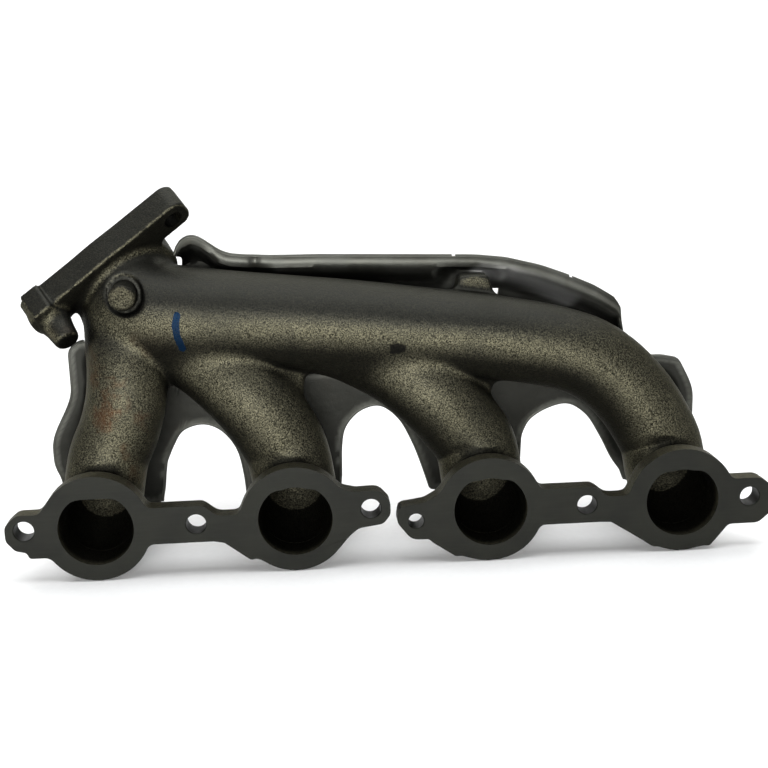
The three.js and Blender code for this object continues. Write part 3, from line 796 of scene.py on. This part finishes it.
def hex_head(x, z, y0, y1, across):
    """Hexagon with its outer face chamfered to a circle."""
    count = 48
    angle = np.arange(count) * 2 * np.pi / count
    sector = (angle + np.pi / 6) % (np.pi / 3) - np.pi / 6
    hexagon = across / 2 / np.cos(sector)
    rings = []
    for y, limit in ((y0, 99), (y1 - 1.3, 99), (y1 - 0.55, across / 2 * 1.07), (y1, across / 2 * 0.93)):
        r = np.minimum(hexagon, limit)
        rings.append(np.stack([x + r * np.cos(angle), np.full(count, y), z + r * np.sin(angle)], 1))
    return loft(rings)


# Bore radius, outside radius, chamfer and sides of the rings in each stack.
RINGS = {"isolator": (5.9, 9.0, 0.9, 64), "sleeve": (4.4, 5.5, 0.25, 48), "washer": (4.4, 10.0, 0.3, 64)}


def build_fixing(name):
    made = {}
    low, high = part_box(f"shield_bolt_{name}")
    x, z = (low.x + high.x) / 2 / MM, (low.z + high.z) / 2 / MM
    y0, y1 = low.y / MM, high.y / MM
    head_at = y1 - 7
    thread = [(y0, 3.2), (y0 + 0.9, 3.95)]
    y = y0 + 0.9
    while y < head_at - 9:
        thread += [(y + 0.55, 3.45), (y + 1.1, 3.98)]
        y += 1.1
    thread += [(y + 1.2, 3.6), (head_at - 0.6, 3.6), (head_at, 4.3)]
    parts = [bar_y(x, z, thread, 24)]
    parts.append(bar_y(x, z, [(head_at, 3.4), (head_at, 8.1), (head_at + 0.5, 8.5), (head_at + 1.1, 8.5),
                              (head_at + 2.2, 7.0), (head_at + 2.2, 3.4)], 48))
    parts.append(hex_head(x, z, head_at + 1.6, y1, 13))
    parts.append(bar_y(x, z, [(y1 - 0.6, 3.0), (y1 - 0.05, 3.0)], 24))
    made["bolt"] = outward(new_object(f"bolt_{name}", *merge(parts)))
    for kind, ring in RINGS.items():
        low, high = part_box(f"shield_{kind}_{name}")
        made[kind] = outward(new_object(f"{kind}_{name}", *ring_y(x, z, low.y / MM, high.y / MM, *ring)))
    for obj in made.values():
        smooth_by_angle(obj, 35)
    return made


# ---- materials -----------------------------------------------------------------------------------


class Nodes:
    """A small builder for node materials on object-frame positions in metres."""

    def __init__(self, name):
        self.material = bpy.data.materials.new(name)
        self.material.use_nodes = True
        self.tree = self.material.node_tree
        self.shader = self.tree.nodes["Principled BSDF"]
        self.place = self.tree.nodes.new("ShaderNodeTexCoord").outputs["Object"]

    def node(self, kind, inputs=(), **settings):
        n = self.tree.nodes.new(kind)
        for key, value in settings.items():
            setattr(n, key, value)
        for key, value in dict(inputs).items():
            self.feed(n.inputs[key], value)
        return n

    def feed(self, socket, value):
        if isinstance(value, bpy.types.NodeSocket):
            self.tree.links.new(value, socket)
        else:
            socket.default_value = value

    def noise(self, scale, detail=3.0, rough=0.55, stretch=None):
        place = self.place
        if stretch:
            place = self.node("ShaderNodeMapping", {"Vector": place, "Scale": stretch}).outputs[0]
        return self.node("ShaderNodeTexNoise", {"Vector": place, "Scale": scale, "Detail": detail,
                                                "Roughness": rough}).outputs["Fac"]

    def cells(self, scale):
        return self.node("ShaderNodeTexVoronoi", {"Vector": self.place, "Scale": scale}).outputs["Distance"]

    def math(self, operation, a, b=0.0, clamp=False):
        n = self.node("ShaderNodeMath", operation=operation, use_clamp=clamp)
        self.feed(n.inputs[0], a)
        self.feed(n.inputs[1], b)
        return n.outputs[0]

    def span(self, value, a, b, c=0.0, d=1.0):
        """Takes value from the range a to b smoothly over to the range c to d."""
        limits = {"Value": value, "From Min": a, "From Max": b, "To Min": c, "To Max": d}
        return self.node("ShaderNodeMapRange", limits, interpolation_type="SMOOTHSTEP").outputs["Result"]

    def mix(self, factor, a, b):
        n = self.node("ShaderNodeMix", data_type="RGBA")
        self.feed(n.inputs["Factor"], factor)
        for socket, value in ((n.inputs[6], a), (n.inputs[7], b)):
            self.feed(socket, (*value, 1.0) if isinstance(value, tuple) else value)
        return n.outputs[2]

    def attribute(self, name):
        return self.node("ShaderNodeAttribute", attribute_name=name).outputs["Fac"]

    def up(self):
        """Height component of the surface normal."""
        normal = self.node("ShaderNodeNewGeometry").outputs["Normal"]
        return self.node("ShaderNodeSeparateXYZ", {"Vector": normal}).outputs["Z"]

    def bump(self, *layers):
        """Stacks (height, strength, distance) layers."""
        normal = None
        for height, strength, distance in layers:
            n = self.node("ShaderNodeBump", {"Height": height, "Strength": strength, "Distance": distance})
            if normal is not None:
                self.feed(n.inputs["Normal"], normal)
            normal = n.outputs["Normal"]
        self.feed(self.shader.inputs["Normal"], normal)

    def surface(self, **values):
        for key, value in values.items():
            socket = self.shader.inputs[key.replace("_", " ")]
            self.feed(socket, (*value, 1.0) if isinstance(value, tuple) else value)


def cast_skin():
    """Gritty iron. It carries painted shade on top, underneath and in hollows, whatever the light does."""
    m = Nodes("cast_skin")
    grain, coarse, blotch = m.noise(1250, 2, 0.6), m.noise(430, 3, 0.6), m.noise(26, 4, 0.55)
    speck = m.span(m.cells(620), 0.06, 0.3, 1, 0)
    up, painted_cavity_shade = m.up(), m.attribute("painted_cavity_shade")
    height = m.node("ShaderNodeSeparateXYZ", {"Vector": m.place}).outputs["Z"]
    # Painted shade: upward faces high on the casting are darkened, and so are downward faces.
    painted_top_shade = m.math("MULTIPLY", m.span(up, 0.0, 0.48), m.span(height, 0.085, 0.108, 0.3, 1))
    painted_underside_shade = m.span(up, 0.02, -0.48)
    tone = m.mix(m.span(grain, 0.39, 0.65), (0.011, 0.0105, 0.007), (0.15, 0.14, 0.092))
    tone = m.mix(m.math("MULTIPLY", m.span(coarse, 0.42, 0.62), 0.5), tone, (0.062, 0.058, 0.039))
    tone = m.mix(m.math("MULTIPLY", speck, 0.35), tone, (0.25, 0.24, 0.175))
    # Painted shade on upward faces high on the casting.
    tone = m.mix(m.math("MULTIPLY", painted_top_shade, 0.88), tone, (0.021, 0.0215, 0.020))
    rust = m.math("MULTIPLY", m.span(m.noise(38, 4, 0.6), 0.5, 0.63), m.attribute("rust"))
    tone = m.mix(m.math("MULTIPLY", rust, 0.55), tone, (0.09, 0.035, 0.013))
    tone = m.mix(m.span(blotch, 0.3, 0.5, 0.35, 0), tone, (0.022, 0.022, 0.018))
    # Painted shade on downward faces.
    tone = m.mix(m.math("MULTIPLY", painted_underside_shade, 0.88), tone, (0.0042, 0.0042, 0.0035))
    # Painted shade in hollows, creases, ports and holes, from the per-vertex value.
    tone = m.mix(m.math("MULTIPLY", m.span(painted_cavity_shade, 0.12, 0.75), 0.9), tone, (0.002, 0.002, 0.0017))
    tone = m.mix(m.math("MULTIPLY", m.span(m.attribute("worn"), 0.45, 0.85), 0.4), tone, (0.105, 0.104, 0.088))
    paint = m.math("ADD", m.attribute("paint"), m.math("MULTIPLY", m.math("SUBTRACT", coarse, 0.5), 1.2))
    paint = m.span(paint, 0.15, -0.15)
    tone = m.mix(m.math("MULTIPLY", paint, 0.92), tone, (0.001, 0.012, 0.034))
    ragged = m.math("MULTIPLY", m.math("SUBTRACT", m.noise(190, 3), 0.5), 7.0)
    stain = m.math("ADD", m.attribute("stain"), ragged)
    tone = m.mix(m.math("MULTIPLY", m.span(stain, 0.9, -0.9), 0.9), tone, (0.003, 0.003, 0.003))
    rough = m.span(grain, 0.3, 0.7, 0.36, 0.56)
    rough = m.math("ADD", rough, m.math("MULTIPLY", painted_top_shade, -0.06))
    rough = m.math("ADD", rough, m.math("MULTIPLY", painted_underside_shade, 0.2), clamp=True)
    m.surface(Base_Color=tone, Roughness=rough, Metallic=0.75, Specular_IOR_Level=0.2,
              Specular_Tint=(0.45, 0.45, 0.42))
    m.bump((m.noise(60, 3), 0.25, 0.0016), (coarse, 0.4, 0.0007), (grain, 0.55, 0.00045))
    return m.material


def machined():
    m = Nodes("machined_iron")
    fine, patch = m.noise(2400, 2, 0.6), m.noise(34, 4, 0.6)
    lines = m.noise(900, 2, 0.5, (0.06, 1, 1))
    tone = m.mix(m.span(patch, 0.35, 0.65), (0.0062, 0.0066, 0.0042), (0.010, 0.0105, 0.0068))
    tone = m.mix(m.math("MULTIPLY", m.span(lines, 0.4, 0.7), 0.15), tone, (0.02, 0.02, 0.017))
    tone = m.mix(m.span(m.noise(150, 3), 0.66, 0.74, 0, 0.6), tone, (0.012, 0.012, 0.01))
    m.surface(Base_Color=tone, Roughness=m.span(patch, 0.3, 0.7, 0.42, 0.56), Metallic=0.5,
              Specular_IOR_Level=0.35)
    m.bump((patch, 0.12, 0.001), (lines, 0.12, 0.0002), (fine, 0.25, 0.0002))
    return m.material


def shield_sheet():
    """Dull sheet. It carries painted shade away from its edge and a painted highlight along a patch of the lip.
    """
    m = Nodes("shield_sheet")
    fine, patch, drawn = m.noise(1700, 2, 0.6), m.noise(30, 4, 0.6), m.noise(330, 3, 0.6, (0.25, 1, 1))
    tone = m.mix(m.span(patch, 0.3, 0.7), (0.052, 0.052, 0.044), (0.092, 0.094, 0.083))
    tone = m.mix(m.math("MULTIPLY", m.span(fine, 0.45, 0.65), 0.3), tone, (0.055, 0.053, 0.044))
    tone = m.mix(m.span(m.noise(75, 3), 0.6, 0.74, 0, 0.4), tone, (0.05, 0.044, 0.032))
    # Painted shade away from the sheet's edge.
    tone = m.mix(m.math("MULTIPLY", m.attribute("depth"), 0.86), tone, (0.014, 0.014, 0.012))
    # Painted highlight along a patch of the lip.
    tone = m.mix(m.math("MULTIPLY", m.attribute("painted_highlight"), 0.6), tone, (0.4, 0.4, 0.39))
    m.surface(Base_Color=tone, Roughness=m.span(patch, 0.3, 0.7, 0.34, 0.5), Metallic=0.8,
              Specular_Tint=(0.5, 0.5, 0.48))
    m.bump((patch, 0.25, 0.002), (drawn, 0.12, 0.0004), (fine, 0.2, 0.0002))
    return m.material


def fibre_mat():
    m = Nodes("fibre_mat")
    strands, fuzz = m.noise(900, 4, 0.7, (0.2, 1, 1)), m.noise(1600, 3, 0.7)
    tone = m.mix(m.span(strands, 0.35, 0.65), (0.33, 0.31, 0.26), (0.62, 0.6, 0.53))
    m.surface(Base_Color=tone, Roughness=m.span(fuzz, 0.3, 0.7, 0.85, 1.0))
    m.bump((strands, 0.8, 0.0006), (fuzz, 0.6, 0.0003))
    return m.material


def bolt_steel():
    m = Nodes("bolt_steel")
    fine, patch = m.noise(2200, 2, 0.6), m.noise(160, 4, 0.6)
    tone = m.mix(m.span(patch, 0.35, 0.65), (0.09, 0.09, 0.085), (0.17, 0.168, 0.155))
    edge = m.span(m.node("ShaderNodeNewGeometry").outputs["Pointiness"], 0.52, 0.6, 0, 0.6)
    tone = m.mix(edge, tone, (0.42, 0.41, 0.38))
    m.surface(Base_Color=tone, Roughness=m.span(patch, 0.3, 0.7, 0.34, 0.52), Metallic=0.9)
    m.bump((patch, 0.15, 0.0004), (fine, 0.2, 0.00015))
    return m.material


def knitted_wire():
    m = Nodes("knitted_wire")
    cells, patch = m.cells(1300), m.noise(200, 3)
    tone = m.mix(m.span(cells, 0.15, 0.6), (0.34, 0.33, 0.29), (0.07, 0.068, 0.06))
    tone = m.mix(m.span(patch, 0.5, 0.7, 0, 0.4), tone, (0.2, 0.15, 0.1))
    m.surface(Base_Color=tone, Roughness=m.span(patch, 0.3, 0.7, 0.4, 0.6), Metallic=0.85)
    m.bump((cells, 0.9, 0.0005))
    return m.material


def floor_paper():
    m = Nodes("floor_paper")
    fine = m.noise(260, 3)
    m.surface(Base_Color=m.mix(m.span(fine, 0.3, 0.7), (0.93, 0.93, 0.925), (0.95, 0.95, 0.945)),
              Roughness=m.span(fine, 0.3, 0.7, 0.85, 0.95), Specular_IOR_Level=0.1)
    m.bump((fine, 0.05, 0.0002))
    return m.material


# ---- assembly ------------------------------------------------------------------------------------


def add(obj, slot, nodes, *materials, index=None):
    obj.data.materials.clear()
    for material in materials:
        obj.data.materials.append(material)
    values = np.zeros(len(obj.data.polygons), np.int32) if index is None else index.astype(np.int32)
    obj.data.polygons.foreach_set("material_index", values)
    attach(obj, "root")
    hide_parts(*nodes)


def distance_to_line(p, line, across):
    """Distance of each point's (x, z) from a polyline, less half the width of the stroke there."""
    best = np.full(len(p), 1e3)
    for (ax, az), (bx, bz) in zip(line, line[1:]):
        ex, ez = bx - ax, bz - az
        t = np.clip(((p[:, 0] - ax) * ex + (p[:, 2] - az) * ez) / (ex * ex + ez * ez), 0, 1)
        best = np.minimum(best, np.hypot(p[:, 0] - ax - t * ex, p[:, 2] - az - t * ez))
    return best - across / 2


PAINT_LINE = [(-117.6, 115.3), (-118.8, 109.5), (-118.2, 103), (-115.9, 95.8)]
# Path of the painted highlight along the lip.
PAINTED_HIGHLIGHT_LINE = [(62, 126.5), (80, 124.5), (96, 118), (118, 107)]

casting, faces = build_casting()
p = vertices_mm(casting)
# The marks are on the front only, so a point behind counts as 50 mm further away.
front = np.where(p[:, 1] < 60, 0.0, 50.0)
store(casting, "paint", distance_to_line(p, PAINT_LINE, 4.0) + front)
store(casting, "stain", np.hypot((p[:, 0] - 6.6) / 1.5, p[:, 2] - 91.7) - 3.2 + front)
store(casting, "rust", np.exp(-((p[:, 0] + 160) / 26) ** 2) * np.exp(-((p[:, 2] - 60) / 40) ** 2))
add(casting, "cast_iron", ["manifold_casting"], cast_skin(), machined(), index=faces)

shield = build_shield()
steel = shield_sheet()
p = vertices_mm(shield["inner"])
# Painted highlight in a band along the lip's upper right.
store(shield["inner"], "painted_highlight", ease(1 - distance_to_line(p, PAINTED_HIGHLIGHT_LINE, 1.0) / 7))
# Painted shade on the inner skin: darker deeper behind the lip up top, and further from the hem lower down.
edge = hem_path()[::2]
away = np.array([np.hypot(edge[:, 0] - x, edge[:, 2] - z).min() for x, _, z in p])
inside = np.where(p[:, 2] > 95, ease((p[:, 1] - RIM_Y - 1) / 9), ease((away - 1.5) / 2.5))
store(shield["inner"], "depth", inside)
add(shield["inner"], "shield_steel", ["heat_shield_inner_skin"], steel)
add(shield["mat"], "insulation", ["heat_shield_insulation"], fibre_mat())
add(shield["outer"], "shield_steel", ["heat_shield_outer_skin"], steel)
add(shield["hem"], "shield_steel", ["heat_shield_outer_skin"], steel)

bolt, wire = bolt_steel(), knitted_wire()
for name in FIXINGS:
    made = build_fixing(name)
    for kind, obj in made.items():
        add(obj, "wire_mesh" if kind == "isolator" else "bolt_steel", [f"shield_{kind}_{name}"],
            wire if kind == "isolator" else bolt)

# ---- floor, light and camera -----------------------------------------------------------------------

floor_z = cad_box[0].z - 0.0005
curve, radius = 1.5, 0.9
profile = [(-2.4, 0.0), (curve, 0.0)]
for a in np.linspace(0.1, math.pi / 2, 14):
    profile.append((curve + radius * math.sin(a), radius - radius * math.cos(a)))
profile.append((curve + radius, 3.2))
points = [(x / MM, y / MM, (floor_z + z) / MM) for y, z in profile for x in (-4.0, 4.0)]
floor = new_object("floor", points, [(2 * i, 2 * i + 1, 2 * i + 3, 2 * i + 2) for i in range(len(profile) - 1)])
floor.data.materials.append(floor_paper())
floor.data.polygons.foreach_set("use_smooth", np.ones(len(floor.data.polygons), bool))

world = bpy.data.worlds.new("studio")
bpy.context.scene.world = world
world.use_nodes = True
world.node_tree.nodes["Background"].inputs["Color"].default_value = (1, 1, 1, 1)
world.node_tree.nodes["Background"].inputs["Strength"].default_value = 0.2
bpy.context.scene.view_settings.view_transform = "Standard"


def area_light(name, place, target, width, height, watts, colour=(1, 1, 1)):
    data = bpy.data.lights.new(name, "AREA")
    data.shape, data.size, data.size_y, data.energy, data.color = "RECTANGLE", width, height, watts, colour
    obj = bpy.data.objects.new(name, data)
    bpy.context.collection.objects.link(obj)
    obj.location = place
    obj.rotation_euler = (Vector(target) - Vector(place)).to_track_quat("-Z", "Y").to_euler()


area_light("key", (-0.25, -1.7, 0.36), (0, 0.03, 0.06), 0.9, 0.35, 30)
area_light("top", (0.0, -0.1, 1.6), (0, 0.0, 0.0), 2.2, 1.4, 27, (0.97, 0.985, 1.0))
area_light("floor_wash", (0.0, 2.2, 2.2), (0, 1.6, 0.2), 4.0, 2.0, 90)

yaw, pitch, roll = np.radians([3.81, 13.90, -1.53])
look = np.array([math.sin(yaw) * math.cos(pitch), math.cos(yaw) * math.cos(pitch), -math.sin(pitch)])
level = np.array([math.cos(yaw), -math.sin(yaw), 0])
rise = np.cross(level, look)
right = level * math.cos(roll) + rise * math.sin(roll)
upward = rise * math.cos(roll) - level * math.sin(roll)
camera = bpy.data.objects.new("camera", bpy.data.cameras.new("camera"))
bpy.context.collection.objects.link(camera)
bpy.context.scene.camera = camera
camera.data.lens, camera.data.sensor_width = 57.37, 36
place = (-0.0473, -0.6568, 0.2406)
turn = np.stack([right, upward, -look], 1)
camera.matrix_world = Matrix([[*row, t] for row, t in zip(turn, place)] + [[0, 0, 0, 1]])
